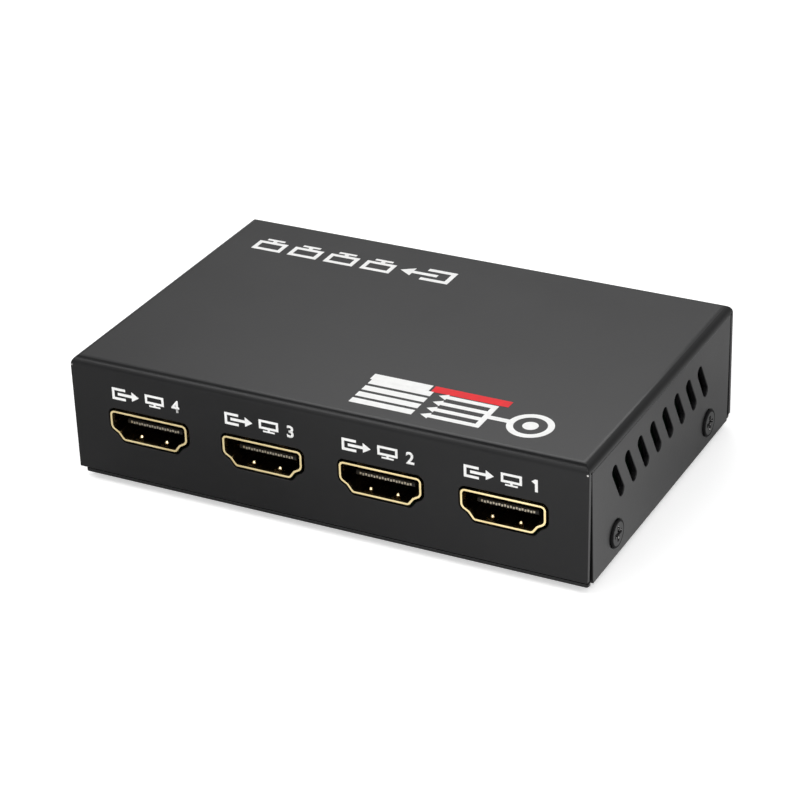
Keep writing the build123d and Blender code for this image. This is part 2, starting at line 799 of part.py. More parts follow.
# Status lights: a domed lens with a rim at its back
with BuildPart() as status_lights:
    with BuildSketch(light_face):
        with Locations(*[(-x, 0) for x in light_places]):
            Circle(light_diameter / 2)
    extrude(amount=-light_length)
    fillet(status_lights.edges().group_by(Axis.Y)[-1], light_diameter / 2 * light_dome_share)
    with BuildSketch(light_face.offset(-light_length)):
        with Locations(*[(-x, 0) for x in light_places]):
            Circle(light_rim / 2)
    extrude(amount=light_rim_thickness)
finish(status_lights, "status_lights")

# Status light leads: straight back from the lens, then down through the board
light_lead_planes = [
    Plane(origin=(x, socket_y - light_length, socket_z), x_dir=(0, -1, 0), z_dir=(-1, 0, 0))
    for x, _ in lead_places
]
lead_drop = socket_rise + board_thickness + leg_overhang
with BuildPart() as status_light_leads:
    with BuildSketch(*light_lead_planes):
        with Locations((light_lead_reach / 2 + light_lead_thickness / 4, 0)):
            Rectangle(light_lead_reach + light_lead_thickness / 2, light_lead_thickness)
        with Locations((light_lead_reach, -lead_drop / 2)):
            Rectangle(light_lead_thickness, lead_drop)
    extrude(amount=light_lead_thickness / 2, both=True)
finish(status_light_leads, "status_light_leads")

# Splitter chip
chip_bottom = board_top + chip_standoff
chip_top = chip_bottom + chip_thickness
with BuildPart() as splitter_chip:
    with BuildSketch(Plane.XY.offset(chip_bottom)):
        Rectangle(chip_width, chip_width)
    extrude(amount=chip_thickness)
    chamfer(splitter_chip.edges().filter_by(Axis.Z), chip_edge_chamfer)
finish(splitter_chip, "splitter_chip")


def lead_planes(middle, half_width, turns, places):
    """Upright planes of bent leads, x running outwards from the sides of a package on the board."""
    return [
        Plane(
            Location((middle[0], middle[1], board_top), (0, 0, turn))
            * Location((half_width, place, 0), (90, 0, 0))
        )
        for turn in turns
        for place in places
    ]


# Leads on the four sides of the splitter chip
with BuildPart() as splitter_chip_leads:
    chip_places = row_places(chip_lead_count, chip_lead_pitch)
    chip_rise = chip_standoff + chip_thickness / 2
    with BuildSketch(*lead_planes((0, 0), chip_width / 2, (0, 90, 180, 270), chip_places)):
        with BuildLine():
            Polyline(
                *gull_points(chip_lead_reach, chip_lead_foot, chip_rise, chip_lead_thickness), close=True
            )
        make_face()
    extrude(amount=chip_lead_width / 2, both=True)
finish(splitter_chip_leads, "splitter_chip_leads")

# Thermal pad on the chip
with BuildPart() as thermal_pad:
    with BuildSketch(Plane.XY.offset(chip_top)):
        Rectangle(chip_width - 2 * pad_inset, chip_width - 2 * pad_inset)
    extrude(amount=pad_thickness)
finish(thermal_pad, "thermal_pad")

# Heat sink on the pad: a base with upright fins
sink_bottom = chip_top + pad_thickness
with BuildPart() as heat_sink:
    with BuildSketch(Plane.XY.offset(sink_bottom)):
        Rectangle(sink_width, sink_width)
    extrude(amount=sink_base)
    with BuildSketch(Plane.XY.offset(sink_bottom + sink_base)):
        fin_pitch = (sink_width - sink_fin_thickness) / (sink_fin_count - 1)
        with GridLocations(fin_pitch, 0, sink_fin_count, 1):
            Rectangle(sink_fin_thickness, sink_width)
    extrude(amount=sink_height - sink_base)
finish(heat_sink, "heat_sink")

# Small capacitors in a ring round the splitter chip
ring_radius = chip_width / 2 + chip_lead_reach + ring_gap + small_capacitor_width / 2
with BuildPart() as small_capacitors:
    with BuildSketch(Plane.XY.offset(board_top)):
        with PolarLocations(ring_radius, 4):
            with GridLocations(0, small_capacitor_pitch, 1, small_capacitors_per_side):
                Rectangle(small_capacitor_width, small_capacitor_length)
    extrude(amount=small_capacitor_height)
finish(small_capacitors, "small_capacitors")

# Protection arrays behind the sockets' tails
array_offsets = row_places(arrays_per_socket, array_spread)
with BuildPart() as protection_arrays:
    with BuildSketch(Plane.XY.offset(board_top)):
        with Locations(*at_sockets(tail_back + array_row_gap, array_offsets)):
            Rectangle(array_length, array_width)
    extrude(amount=array_height)
finish(protection_arrays, "protection_arrays")

# Resistors behind the protection arrays, one in each signal line of a socket
resistor_offsets = row_places(resistors_per_socket, resistor_pitch)
with BuildPart() as line_resistors:
    with BuildSketch(Plane.XY.offset(board_top)):
        with Locations(*at_sockets(tail_back + resistor_row_gap, resistor_offsets)):
            Rectangle(resistor_width, resistor_length)
    extrude(amount=resistor_height)
finish(line_resistors, "line_resistors")

# Columns of larger parts to the left and right of the ring
ring_outside = ring_radius + small_capacitor_width / 2
memory_span = memory_width + 2 * memory_lead_reach
left_x = -(ring_outside + part_gap + max(memory_span, crystal_width) / 2)
regulator_span = regulator_width + 2 * regulator_lead_reach
right_span = max(regulator_span, inductor_width)
right_x = ring_outside + part_gap + right_span / 2
can_x = right_x + right_span / 2 + part_gap + can_base_width / 2

# Crystal: an oval can on its rim
with BuildPart() as crystal:
    with BuildSketch(Plane.XY.offset(board_top)):
        with Locations((left_x, -row_spread / 2)):
            SlotOverall(crystal_length, crystal_width, rotation=90)
    extrude(amount=crystal_rim)
    with BuildSketch(Plane.XY.offset(board_top + crystal_rim)):
        with Locations((left_x, -row_spread / 2)):
            SlotOverall(crystal_length - 2 * crystal_rim, crystal_width - 2 * crystal_rim, rotation=90)
    extrude(amount=crystal_height - crystal_rim)
    fillet(crystal.edges().group_by(Axis.Z)[-1], crystal_rim)
finish(crystal, "crystal")

# Memory chip with its eight leads
memory_middle = (left_x, row_spread / 2)
memory_rise = memory_standoff + memory_thickness / 2
with BuildPart() as memory_chip:
    with BuildSketch(Plane.XY.offset(board_top + memory_standoff)):
        with Locations(memory_middle):
            Rectangle(memory_width, memory_length)
    extrude(amount=memory_thickness)
finish(memory_chip, "memory_chip")

with BuildPart() as memory_chip_leads:
    memory_places = row_places(memory_lead_count, memory_lead_pitch)
    with BuildSketch(*lead_planes(memory_middle, memory_width / 2, (0, 180), memory_places)):
        with BuildLine():
            Polyline(
                *gull_points(memory_lead_reach, memory_lead_foot, memory_rise, memory_lead_thickness),
                close=True,
            )
        make_face()
    extrude(amount=memory_lead_width / 2, both=True)
finish(memory_chip_leads, "memory_chip_leads")

# Voltage regulator, with three leads on one side and a wide tab on the other
regulator_middle = (right_x, row_spread / 2)
regulator_rise = regulator_standoff + regulator_thickness / 2
regulator_gull = gull_points(
    regulator_lead_reach, regulator_lead_foot, regulator_rise, regulator_lead_thickness
)
with BuildPart() as regulator:
    with BuildSketch(Plane.XY.offset(board_top + regulator_standoff)):
        with Locations(regulator_middle):
            Rectangle(regulator_width, regulator_length)
    extrude(amount=regulator_thickness)
finish(regulator, "regulator")

with BuildPart() as regulator_leads:
    regulator_sides = (
        (180, row_places(regulator_lead_count, regulator_lead_pitch), regulator_lead_width),
        (0, [0], regulator_tab_width),
    )
    for turn, places, width in regulator_sides:
        with BuildSketch(*lead_planes(regulator_middle, regulator_width / 2, (turn,), places)):
            with BuildLine():
                Polyline(*regulator_gull, close=True)
            make_face()
        extrude(amount=width / 2, both=True)
finish(regulator_leads, "regulator_leads")

# Inductor: a round shielded drum on a square base
with BuildPart() as inductor:
    with BuildSketch(Plane.XY.offset(board_top)):
        with Locations((right_x, -row_spread / 2)):
            Rectangle(inductor_width, inductor_width)
    extrude(amount=inductor_base)
    with BuildSketch(Plane.XY.offset(board_top + inductor_base)):
        with Locations((right_x, -row_spread / 2)):
            Circle(inductor_drum / 2)
    extrude(amount=inductor_height - inductor_base)
finish(inductor, "inductor")

# Reservoir capacitors: a base with two cut corners, and a can with a crimped groove
can_places = [(can_x, side * row_spread / 2) for side in (-1, 1)]
with BuildPart() as capacitor_bases:
    with BuildSketch(Plane.XY.offset(board_top)):
        with Locations(*can_places):
            Rectangle(can_base_width, can_base_width)
    extrude(amount=can_base_height)
    chamfer(capacitor_bases.edges().filter_by(Axis.Z).group_by(Axis.X)[-1], can_base_chamfer)
finish(capacitor_bases, "capacitor_bases")

with BuildPart() as capacitor_cans:
    with BuildSketch(Plane.XY.offset(board_top + can_base_height)):
        with Locations(*can_places):
            Circle(can_diameter / 2)
    extrude(amount=can_height)
    fillet(capacitor_cans.edges().group_by(Axis.Z)[-1], can_edge_radius)
    with BuildSketch(Plane.XY.offset(board_top + can_base_height + can_groove_rise)):
        with Locations(*can_places):
            Circle(can_diameter / 2 + overrun)
            Circle(can_diameter / 2 - can_groove_depth, mode=Mode.SUBTRACT)
    extrude(amount=can_groove_width, mode=Mode.SUBTRACT)
finish(capacitor_cans, "capacitor_cans")
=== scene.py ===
import math

import bpy
from mathutils import Matrix, Vector


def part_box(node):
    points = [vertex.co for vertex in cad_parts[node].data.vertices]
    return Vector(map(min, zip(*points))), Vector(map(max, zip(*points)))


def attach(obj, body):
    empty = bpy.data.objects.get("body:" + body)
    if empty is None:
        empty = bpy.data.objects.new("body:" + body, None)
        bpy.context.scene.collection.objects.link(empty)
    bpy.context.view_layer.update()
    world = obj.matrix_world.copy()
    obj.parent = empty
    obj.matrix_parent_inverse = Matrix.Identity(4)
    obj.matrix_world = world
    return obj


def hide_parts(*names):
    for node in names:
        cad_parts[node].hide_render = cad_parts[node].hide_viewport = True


# A video splitter with one input and four outputs, in a folded and powder-coated steel case. Blender's
# lengths are in metres. The outputs face -Y, and the input, the power socket and the lights face +Y.
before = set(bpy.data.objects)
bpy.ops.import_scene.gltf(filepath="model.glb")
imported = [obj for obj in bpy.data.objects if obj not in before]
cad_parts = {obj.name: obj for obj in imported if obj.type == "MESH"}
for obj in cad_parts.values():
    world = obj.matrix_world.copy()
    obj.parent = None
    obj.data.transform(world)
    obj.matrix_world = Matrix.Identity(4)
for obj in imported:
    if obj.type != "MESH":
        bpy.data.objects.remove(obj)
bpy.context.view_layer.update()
MM = 0.001


# Rubber feet
# Four stick-on feet of soft black rubber, moulded with a dished sole and a rounded lower edge. They are
# glued to the underside of the tray, near its corners.
def select_only(*things):
    """Leaves nothing selected but these objects, with the first one active."""
    bpy.ops.object.select_all(action="DESELECT")
    for thing in things:
        thing.select_set(True)
    bpy.context.view_layer.objects.active = things[0]


def traced(node, name, corner=0.0, steps=2, edges=None):
    """A copy of a solid with its triangles merged and its flat faces cleaned. Its sharp edges are rounded,
    or only those whose middle passes the test."""
    same_place, flat, sharp = 0.002 * MM, math.radians(0.5), math.radians(35)
    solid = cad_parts[node]
    piece = bpy.data.objects.new(name, solid.data.copy())
    bpy.context.scene.collection.objects.link(piece)
    select_only(piece)
    bpy.ops.mesh.customdata_custom_splitnormals_clear()
    bpy.ops.object.mode_set(mode="EDIT")
    bpy.ops.mesh.select_all(action="SELECT")
    bpy.ops.mesh.remove_doubles(threshold=same_place)
    bpy.ops.mesh.dissolve_limited(angle_limit=flat)
    bpy.ops.mesh.select_mode(type="EDGE")
    bpy.ops.mesh.select_all(action="DESELECT")
    bpy.ops.mesh.edges_select_sharp(sharpness=sharp)
    bpy.ops.object.mode_set(mode="OBJECT")
    points = piece.data.vertices
    for edge in piece.data.edges:
        first, last = (points[end].co for end in edge.vertices)
        edge.select = edge.select and (edges is None or edges((first + last) / 2))
    # A face or a point that stays selected would select its edges again.
    for part in (*points, *piece.data.polygons):
        part.select = False
    if corner:
        bpy.ops.object.mode_set(mode="EDIT")
        bpy.ops.mesh.bevel(offset=corner, segments=steps, affect="EDGES")
        bpy.ops.object.mode_set(mode="OBJECT")
    bpy.ops.object.shade_smooth_by_angle(angle=sharp)
    flats = piece.modifiers.new("flat faces", "WEIGHTED_NORMAL")
    flats.keep_sharp = True
    bpy.ops.object.modifier_apply(modifier=flats.name)
    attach(piece, "root")
    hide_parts(node)
    return piece


def dress(thing, material):
    """Gives a piece its only material."""
    thing.data.materials.clear()
    thing.data.materials.append(material)


def put(tree, kind, values=(), **settings):
    """Adds a node to a tree. A value that is a socket is linked, and any other is set."""
    node = tree.nodes.new(kind)
    for setting, value in settings.items():
        setattr(node, setting, value)
    for socket, value in dict(values).items():
        if isinstance(value, bpy.types.NodeSocket):
            tree.links.new(value, node.inputs[socket])
        else:
            node.inputs[socket].default_value = value
    return node


def worked(tree, operation, *values):
    """A number worked out from one or two others, which may be sockets."""
    return put(tree, "ShaderNodeMath", enumerate(values), operation=operation).outputs[0]


def ranged(tree, value, low, high, first=0.0, last=1.0):
    """A number that goes from the first to the last while the value goes from low to high."""
    ends = {"Value": value, "From Min": low, "From Max": high, "To Min": first, "To Max": last}
    return put(tree, "ShaderNodeMapRange", ends).outputs[0]


def mixed(tree, mask, first, second):
    """A colour between two others, which may be sockets, by a mask."""
    node = put(tree, "ShaderNodeMix", {0: mask}, data_type="RGBA")
    for socket, colour in ((6, first), (7, second)):
        if isinstance(colour, bpy.types.NodeSocket):
            tree.links.new(colour, node.inputs[socket])
        else:
            node.inputs[socket].default_value = (*colour, 1)
    return node.outputs[2]


def blended(tree, share, first, second):
    """A number between two others, which may be sockets, by a share."""
    return put(tree, "ShaderNodeMix", {0: share, 2: first, 3: second}).outputs[0]


def object_place(tree):
    """The place on the piece, from the case's middle, in metres."""
    return put(tree, "ShaderNodeTexCoord").outputs["Object"]


def along(tree, place, axis):
    """How far a place lies along an axis."""
    return put(tree, "ShaderNodeSeparateXYZ", {0: place}).outputs[axis]


def opened(material):
    """A material's tree and its shader."""
    return material.node_tree, material.node_tree.nodes["Principled BSDF"]


def fed(shader, socket):
    """What feeds an input of a shader now."""
    return shader.inputs[socket].links[0].from_socket


def finish(name, colour, rough, metallic=0.0, **sockets):
    """A material with its shader's own values set."""
    material = bpy.data.materials.new(name)
    material.use_nodes = True
    shader = opened(material)[1]
    values = {"Base Color": (*colour, 1), "Roughness": rough, "Metallic": metallic}
    values.update({socket.replace("_", " "): value for socket, value in sockets.items()})
    for socket, value in values.items():
        shader.inputs[socket].default_value = value
    return material


def emboss(tree, shader, height):
    """Gives a shader relief, from a height in metres."""
    bump = put(tree, "ShaderNodeBump", {"Height": height, "Distance": 1.0})
    tree.links.new(bump.outputs[0], shader.inputs["Normal"])


# The grain that most of the finishes share: a fine and a coarser noise for relief, and large soft patches
# for uneven gloss and shade. Its numbers are the grains and the patches in a metre, and the relief's height.
grain = bpy.data.node_groups.new("surface grain", "ShaderNodeTree")
for socket, usual in (("Grain", 3000), ("Relief", 0.00001), ("Patch", 60)):
    made = grain.interface.new_socket(name=socket, in_out="INPUT", socket_type="NodeSocketFloat")
    made.default_value = usual
for socket in ("Height", "Patches"):
    grain.interface.new_socket(name=socket, in_out="OUTPUT", socket_type="NodeSocketFloat")
given = grain.nodes.new("NodeGroupInput").outputs
results = grain.nodes.new("NodeGroupOutput").inputs
coarser, patch_edges = 0.3, (0.35, 0.65)
place = object_place(grain)
fine = put(grain, "ShaderNodeTexNoise", {"Vector": place, "Scale": given["Grain"], "Detail": 2})
peel_scale = worked(grain, "MULTIPLY", given["Grain"], coarser)
peel = put(grain, "ShaderNodeTexNoise", {"Vector": place, "Scale": peel_scale, "Detail": 1})
both = worked(grain, "ADD", fine.outputs[0], peel.outputs[0])
cloud = put(grain, "ShaderNodeTexNoise", {"Vector": place, "Scale": given["Patch"], "Detail": 4})
grain.links.new(worked(grain, "MULTIPLY", both, given["Relief"]), results["Height"])
grain.links.new(ranged(grain, cloud.outputs[0], *patch_edges), results["Patches"])


def grained(name, size, relief, patch, dark, light, smooth, rough, metallic=0.0, **sockets):
    """A material with relief of that size and height, and patches between two shades and two glosses."""
    material = finish(name, light, rough, metallic, **sockets)
    tree, shader = opened(material)
    look = put(tree, "ShaderNodeGroup", node_tree=grain)
    for socket, value in (("Grain", 1 / size), ("Relief", relief), ("Patch", 1 / patch)):
        look.inputs[socket].default_value = value
    emboss(tree, shader, look.outputs["Height"])
    patches = look.outputs["Patches"]
    tree.links.new(mixed(tree, patches, dark, light), shader.inputs["Base Color"])
    tree.links.new(ranged(tree, patches, 0, 1, smooth, rough), shader.inputs["Roughness"])
    return material


foot_rubber = grained(
    "foot rubber", size=0.5 * MM, relief=0.03 * MM, patch=6 * MM,
    dark=(0.016, 0.016, 0.016), light=(0.03, 0.03, 0.03), smooth=0.72, rough=0.9,
)
feet = traced("rubber_feet", "feet")
# Each sole keeps a flat rim, and slopes up from there to its sunk middle.
foot_x, foot_y, near_sole, downward = 38 * MM, 21.9 * MM, 3 * MM, -0.99
rim_share, slope_share, dish_depth = 0.75, 0.9, 0.35 * MM
for x in (-foot_x, foot_x):
    for y in (-foot_y, foot_y):
        bpy.ops.object.mode_set(mode="EDIT")
        bpy.ops.mesh.select_mode(type="FACE")
        bpy.ops.mesh.select_all(action="DESELECT")
        bpy.ops.object.mode_set(mode="OBJECT")
        sole = Vector((x, y, 0))
        for face in feet.data.polygons:
            face.select = face.normal.z < downward and (face.center - sole).length < near_sole
        bpy.ops.object.mode_set(mode="EDIT")
        for share, depth in ((rim_share, 0), (slope_share, dish_depth)):
            bpy.ops.mesh.extrude_region()
            bpy.ops.transform.resize(value=(share, share, 1), center_override=sole)
            bpy.ops.transform.translate(value=(0, 0, depth))
        bpy.ops.object.mode_set(mode="OBJECT")
dress(feet, foot_rubber)

# Base tray
# The lower half of the case: a channel folded from thin steel and powder-coated black, with lips under the
# cover's front and back walls. The feet, the standoffs and the case screws are fixed to it.
case_coat = grained(
    "black powder coat", size=0.3 * MM, relief=0.004 * MM, patch=14 * MM,
    dark=(0.0065, 0.0065, 0.007), light=(0.0085, 0.0085, 0.009), smooth=0.29, rough=0.32,
    Specular_IOR_Level=0.2,
)
lip_y = 30.51 * MM
tray = traced("base_tray", "tray", corner=0.12 * MM, steps=3, edges=lambda middle: abs(middle.y) > lip_y)
dress(tray, case_coat)

# Standoffs and board screws
# Hexagonal brass standoffs, riveted into the tray's floor, and the zinc-plated pan-head screws that hold
# the circuit board on them.
turned_brass = grained(
    "turned brass", size=0.2 * MM, relief=0.002 * MM, patch=3 * MM,
    dark=(0.62, 0.42, 0.16), light=(0.78, 0.56, 0.25), smooth=0.28, rough=0.42, metallic=1.0,
)
zinc = grained(
    "bright zinc plating", size=0.15 * MM, relief=0.002 * MM, patch=2 * MM,
    dark=(0.55, 0.57, 0.60), light=(0.72, 0.74, 0.76), smooth=0.22, rough=0.36, metallic=1.0,
)
dress(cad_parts["board_standoffs"], turned_brass)
dress(traced("board_screws", "pan_screws", corner=0.05 * MM), zinc)

# Circuit board
# A glass-fibre board, 1.6 mm thick, under green solder mask. Copper runs show through the mask as paler
# lines, and tinned vias as small bright dots.
board_mask = finish("dark green solder mask", (0.003, 0.02, 0.01), rough=0.4, Specular_IOR_Level=0.3)
tree, shader = opened(board_mask)
place = object_place(tree)
runs = []
for turn, spacing, shift in ((0, 1.1, 0.0), (90, 1.5, 0.3)):
    turned = put(tree, "ShaderNodeMapping", {"Vector": place, "Location": (shift * MM, shift * MM, 0)})
    turned.inputs["Rotation"].default_value = (0, 0, math.radians(turn))
    sizes = {
        "Scale": 1 / MM, "Brick Width": 14, "Row Height": spacing, "Mortar Size": 0.12, "Mortar Smooth": 0.2,
    }
    runs.append(put(tree, "ShaderNodeTexBrick", {"Vector": turned.outputs[0], **sizes}).outputs["Fac"])
copper = worked(tree, "MAXIMUM", *runs)
vias_per_mm, via_edge, via_middle, copper_height = 0.28, 0.1, 0.08, 0.03 * MM
spots = put(tree, "ShaderNodeTexVoronoi", {"Vector": place, "Scale": vias_per_mm / MM}).outputs["Distance"]
vias = ranged(tree, spots, low=via_edge, high=via_middle)
masked = mixed(tree, copper, (0.003, 0.016, 0.008), (0.007, 0.035, 0.016))
tree.links.new(mixed(tree, vias, masked, (0.55, 0.56, 0.54)), shader.inputs["Base Color"])
tree.links.new(vias, shader.inputs["Metallic"])
emboss(tree, shader, worked(tree, "MULTIPLY", copper, copper_height))
dress(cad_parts["circuit_board"], board_mask)

# Chips on the board
# The splitter chip, the memory chip, the voltage regulator and the protection arrays: black moulded resin
# with a matt speckle, on bent leads of tinned copper alloy.
chip_resin = grained(
    "chip resin", size=0.12 * MM, relief=0.006 * MM, patch=4 * MM,
    dark=(0.018, 0.018, 0.019), light=(0.028, 0.028, 0.03), smooth=0.5, rough=0.65,
)
tin = grained(
    "tinned leads", size=0.1 * MM, relief=0.003 * MM, patch=1 * MM,
    dark=(0.55, 0.55, 0.53), light=(0.7, 0.7, 0.68), smooth=0.25, rough=0.42, metallic=1.0,
)
for node in ("splitter_chip", "memory_chip", "regulator", "protection_arrays"):
    dress(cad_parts[node], chip_resin)
for node in ("splitter_chip_leads", "memory_chip_leads", "regulator_leads", "status_light_leads"):
    dress(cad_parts[node], tin)

# Heat sink and thermal pad
# A small extruded sink of clear-anodised aluminium with upright fins, on a soft blue-grey pad of filled
# silicone over the splitter chip.
pad_silicone = grained(
    "pad silicone", size=0.2 * MM, relief=0.01 * MM, patch=3 * MM,
    dark=(0.22, 0.30, 0.36), light=(0.28, 0.37, 0.43), smooth=0.7, rough=0.85,
)
sink_aluminium = grained(
    "anodised aluminium", size=0.1 * MM, relief=0.003 * MM, patch=5 * MM,
    dark=(0.50, 0.51, 0.52), light=(0.62, 0.63, 0.64), smooth=0.35, rough=0.5, metallic=1.0,
)
dress(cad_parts["thermal_pad"], pad_silicone)
dress(traced("heat_sink", "sink", corner=0.1 * MM), sink_aluminium)

# Small parts soldered to the board
# Ceramic capacitors round the splitter chip, a resistor in each signal line, the crystal in its pressed
# steel can, the shielded inductor, and two aluminium reservoir capacitors on moulded bases.
ceramic = grained(
    "capacitor ceramic", size=0.1 * MM, relief=0.002 * MM, patch=1 * MM,
    dark=(0.30, 0.20, 0.11), light=(0.40, 0.28, 0.17), smooth=0.35, rough=0.5,
)
resistor_film = grained(
    "resistor film", size=0.1 * MM, relief=0.002 * MM, patch=1 * MM,
    dark=(0.02, 0.02, 0.022), light=(0.06, 0.06, 0.065), smooth=0.3, rough=0.5,
)
can_steel = grained(
    "pressed steel can", size=0.15 * MM, relief=0.002 * MM, patch=3 * MM,
    dark=(0.58, 0.58, 0.57), light=(0.7, 0.7, 0.69), smooth=0.22, rough=0.34, metallic=1.0,
)
ferrite = grained(
    "ferrite", size=0.2 * MM, relief=0.012 * MM, patch=3 * MM,
    dark=(0.03, 0.03, 0.032), light=(0.06, 0.06, 0.062), smooth=0.6, rough=0.8,
)
can_aluminium = grained(
    "can aluminium", size=0.15 * MM, relief=0.001 * MM, patch=3 * MM,
    dark=(0.66, 0.67, 0.68), light=(0.76, 0.77, 0.78), smooth=0.2, rough=0.3, metallic=1.0,
)
black_plastic = grained(
    "moulded black plastic", size=0.2 * MM, relief=0.006 * MM, patch=5 * MM,
    dark=(0.014, 0.014, 0.015), light=(0.022, 0.022, 0.023), smooth=0.4, rough=0.55,
)
for node, material in (
    ("small_capacitors", ceramic),
    ("line_resistors", resistor_film),
    ("crystal", can_steel),
    ("inductor", ferrite),
    ("capacitor_cans", can_aluminium),
    ("capacitor_bases", black_plastic),
):
    dress(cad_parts[node], material)

# Video sockets
# Five identical sockets, four at the front and one at the back: a shell folded from gold-plated steel with
# sprung fingers, a black moulded insulator with its tongue, and nineteen gold-plated contacts.
gold = grained(
    "gold plating", size=0.12 * MM, relief=0.0015 * MM, patch=2.5 * MM,
    dark=(0.80, 0.64, 0.33), light=(0.90, 0.75, 0.42), smooth=0.15, rough=0.26, metallic=1.0,
)
# Smoother gold for the dimples' crowns, painted paler and brighter than the plating as a highlight.
crown_gold_highlight = grained(
    "rubbed gold with painted highlight", size=0.12 * MM, relief=0.0015 * MM, patch=2.5 * MM,
    dark=(0.95, 0.74, 0.42), light=(1.0, 0.84, 0.55), smooth=0.12, rough=0.2, metallic=1.0,
)
contact_gold = grained(
    "contact gold", size=0.08 * MM, relief=0.001 * MM, patch=1 * MM,
    dark=(0.36, 0.32, 0.25), light=(0.46, 0.42, 0.34), smooth=0.3, rough=0.4, metallic=1.0,
)
socket_resin = grained(
    "socket resin", size=0.15 * MM, relief=0.004 * MM, patch=3 * MM,
    dark=(0.006, 0.005, 0.004), light=(0.011, 0.009, 0.007), smooth=0.4, rough=0.55,
    Specular_IOR_Level=0.25,
)
# Gold on the folded rim; within the mouth it is darkened towards brown as painted shade.
shade_start_y, full_shade_y, mouth_shade_share, mouth_shade_brown = 30.85 * MM, 30.4 * MM, 0.9, (0.17, 0.095, 0.035)
tree, shader = opened(gold)
outward = worked(tree, "ABSOLUTE", along(tree, object_place(tree), "Y"))
mouth_shade = worked(tree, "MULTIPLY", ranged(tree, outward, shade_start_y, full_shade_y), mouth_shade_share)
tree.links.new(mixed(tree, mouth_shade, fed(shader, "Base Color"), mouth_shade_brown), shader.inputs["Base Color"])
# The contacts' blunt ends are darkened away from the middle of the tongue, as painted shade.
tongue_z, unshaded_edge, shaded_edge, ends_shade_brown = 12.05 * MM, 0.2 * MM, 0.28 * MM, (0.035, 0.028, 0.02)
tree, shader = opened(contact_gold)
rise = worked(tree, "SUBTRACT", along(tree, object_place(tree), "Z"), tongue_z)
ends_shade = ranged(tree, worked(tree, "ABSOLUTE", rise), unshaded_edge, shaded_edge)
tree.links.new(mixed(tree, ends_shade, fed(shader, "Base Color"), ends_shade_brown), shader.inputs["Base Color"])
# The crowns of the two dimples in each shell's floor are polished by plugs, and are painted paler and
# brighter as a highlight. A crown's limits in millimetres are its distance from the socket's middle, its
# depth behind the mouth and its height.
rim_y, mouth_y, crown_limits = 30.95, 31.1, ((2.0, 2.9), (1.1, 2.1), (9.93, 10.4))
for socket in ("output_1", "output_2", "output_3", "output_4", "input"):
    shell = traced(
        f"{socket}_shell", f"{socket}_folded_shell",
        corner=0.1 * MM, edges=lambda middle: abs(middle.y) > rim_y * MM,
    )
    dress(shell, gold)
    shell.data.materials.append(crown_gold_highlight)
    low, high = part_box(f"{socket}_shell")
    middle = (low[0] + high[0]) / 2
    for face in shell.data.polygons:
        across, depth = abs(face.center.x - middle) / MM, mouth_y - abs(face.center.y) / MM
        spot = (across, depth, face.center.z / MM)
        crown = all(start < measure < end for measure, (start, end) in zip(spot, crown_limits))
        face.material_index = 1 if crown else 0
    dress(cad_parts[f"{socket}_insulator"], socket_resin)
    dress(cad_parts[f"{socket}_contacts"], contact_gold)

# Power socket
# A moulded block with a round bore behind the case's back wall, with a nickel-plated centre pin and the
# leaf spring that presses on the plug's sleeve.
nickel = grained(
    "nickel plating", size=0.12 * MM, relief=0.001 * MM, patch=2 * MM,
    dark=(0.62, 0.60, 0.56), light=(0.74, 0.72, 0.68), smooth=0.16, rough=0.26, metallic=1.0,
)
dress(traced("power_socket_housing", "power_block", corner=0.15 * MM), black_plastic)
dress(traced("power_socket_pin", "power_pin"), nickel)
dress(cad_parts["power_socket_spring"], nickel)

# Status lights
# Five 3 mm lamps of diffused epoxy that look out through the back wall: a red one for power, and a green
# one for each output.
lamp_epoxy = finish("lamp epoxy", (0.5, 0.6, 0.5), rough=0.12, Transmission_Weight=0.25, IOR=1.54)
tree, shader = opened(lamp_epoxy)
place = object_place(tree)
between_lamps, clouds_per_mm = 12 * MM, 0.9
power_lamp = worked(tree, "GREATER_THAN", along(tree, place, "X"), between_lamps)
clouds = put(tree, "ShaderNodeTexNoise", {"Vector": place, "Scale": clouds_per_mm / MM, "Detail": 3})
haze = clouds.outputs[0]
green = mixed(tree, haze, (0.16, 0.42, 0.20), (0.26, 0.55, 0.30))
red = mixed(tree, haze, (0.50, 0.05, 0.04), (0.66, 0.10, 0.08))
tree.links.new(mixed(tree, power_lamp, green, red), shader.inputs["Base Color"])
dress(traced("status_lights", "lamps"), lamp_epoxy)


# Cover
# The upper half of the case, folded from 1 mm steel: a top and four walls, with open seams at the corners,
# slanted cooling slots in the sides, and openings for the sockets, the power plug and the lights.
def folded_place(tree):
    """The place on the piece without its signs, so that a spot shows in every mirror-image corner."""
    return put(tree, "ShaderNodeVectorMath", {0: object_place(tree)}, operation="ABSOLUTE").outputs[0]


def away(tree, place, spot):
    """How far a place is from a spot."""
    return put(tree, "ShaderNodeVectorMath", {0: place, 1: spot}, operation="DISTANCE").outputs["Value"]


# The coat is missing in the small relief holes at the tops of the corner seams.
cover_coat = case_coat.copy()
cover_coat.name = "powder coat with bare corners"
tree, shader = opened(cover_coat)
relief_hole = (46.75 * MM, 30.9 * MM, 21.75 * MM)
coat_edge, bare_edge, bare_steel, bare_rough = 0.21 * MM, 0.13 * MM, (0.42, 0.41, 0.4), 0.25
bare = ranged(tree, away(tree, folded_place(tree), relief_hole), coat_edge, bare_edge)
worn_gloss = blended(tree, bare, fed(shader, "Roughness"), bare_rough)
tree.links.new(mixed(tree, bare, fed(shader, "Base Color"), bare_steel), shader.inputs["Base Color"])
tree.links.new(bare, shader.inputs["Metallic"])
tree.links.new(worn_gloss, shader.inputs["Roughness"])
dress(traced("cover", "folded_cover", corner=0.15 * MM, steps=3), cover_coat)

